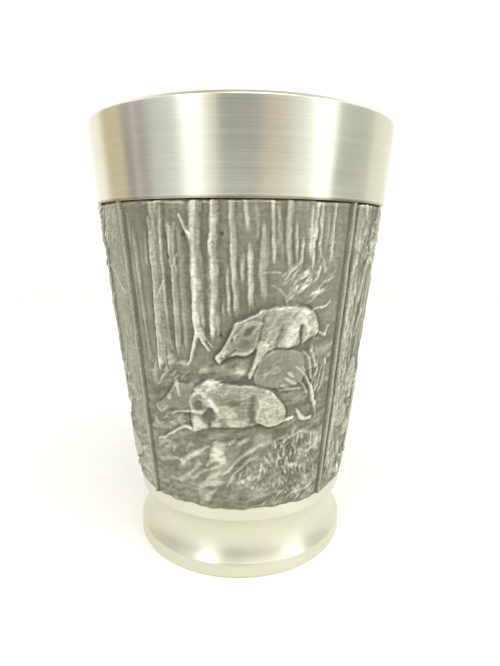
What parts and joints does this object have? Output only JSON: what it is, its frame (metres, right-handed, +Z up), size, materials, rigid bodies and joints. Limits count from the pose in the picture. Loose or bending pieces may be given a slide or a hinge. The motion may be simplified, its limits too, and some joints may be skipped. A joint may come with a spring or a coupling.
{
  "type": "shot beaker",
  "caption": "Small tapered metal shot beaker with a smooth turned rim band, cast relief panels between thin ribs round its waist, and a coved foot.",
  "frame": {"origin": "centre of the standing face, on the cup's axis", "axes": "+Z up along the cup's axis; -Y is the middle of the boar panel, and the other panels face +X, +Y and -X"},
  "size_m": [0.0386, 0.0386, 0.055],
  "materials": {
    "pewter_turned": "turned pewter, satin, with fine lathe lines round it",
    "pewter_inside": "turned pewter, satin, a little duller than the outside",
    "pewter_relief": "cast pewter, blackened in the hollows and rubbed bright on the high parts",
    "pewter_rib": "cast pewter, rubbed bright along its crest",
    "solder": "smooth solder, slightly dull"
  },
  "bodies": {
    "root": {"cup_liner": "pewter_inside", "rim_collar": "pewter_turned", "relief_panel_boars": "pewter_relief", "relief_panel_stag": "pewter_relief", "relief_panel_fox": "pewter_relief", "relief_panel_pheasant": "pewter_relief", "divider_rib_front_right": "pewter_rib", "divider_rib_rear_right": "pewter_rib", "divider_rib_rear_left": "pewter_rib", "divider_rib_front_left": "pewter_rib", "foot_ring": "pewter_turned", "floor_disc": "pewter_inside", "floor_solder_seam": "solder"}
  },
  "joints": []
}
